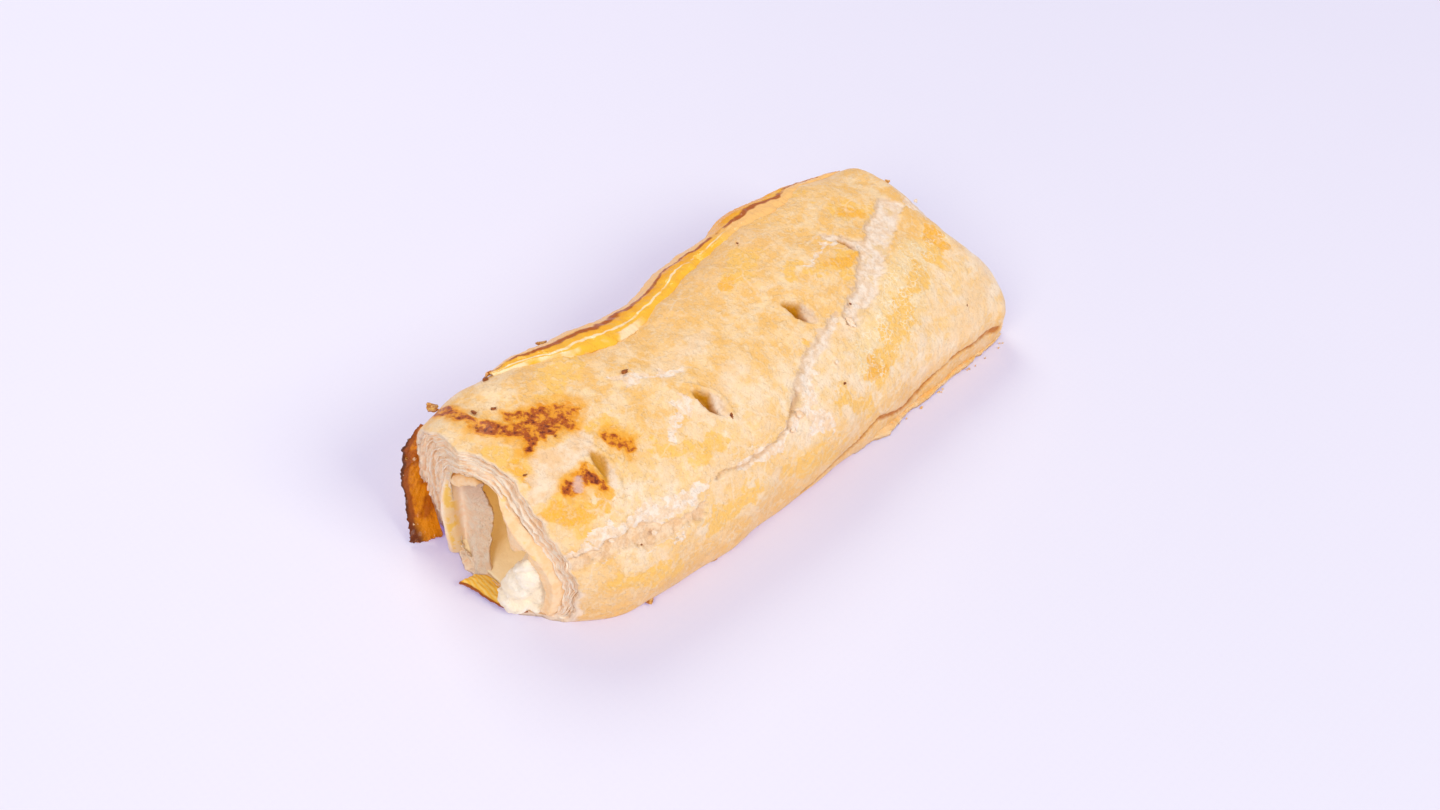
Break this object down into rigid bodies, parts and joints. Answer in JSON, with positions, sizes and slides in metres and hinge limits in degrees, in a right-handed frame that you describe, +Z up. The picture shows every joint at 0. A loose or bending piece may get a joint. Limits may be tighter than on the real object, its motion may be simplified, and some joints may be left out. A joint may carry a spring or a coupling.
{
  "type": "cheese piroshki",
  "caption": "Long baked roll of flaky golden pastry filled with soft white cheese, cut square at the ends, with knife slits across its top.",
  "frame": {"origin": "middle of the footprint's bounding box, on the table", "axes": "+Y along the roll from its open end to its far end, +Z up"},
  "size_m": [0.071, 0.1722, 0.0394],
  "materials": {
    "pastry_roll": "baked pastry, satin egg glaze",
    "cheese_filling": "soft curd cheese, moist"
  },
  "bodies": {
    "root": {"pastry_roll": "pastry_roll", "cheese_filling": "cheese_filling"}
  },
  "joints": []
}
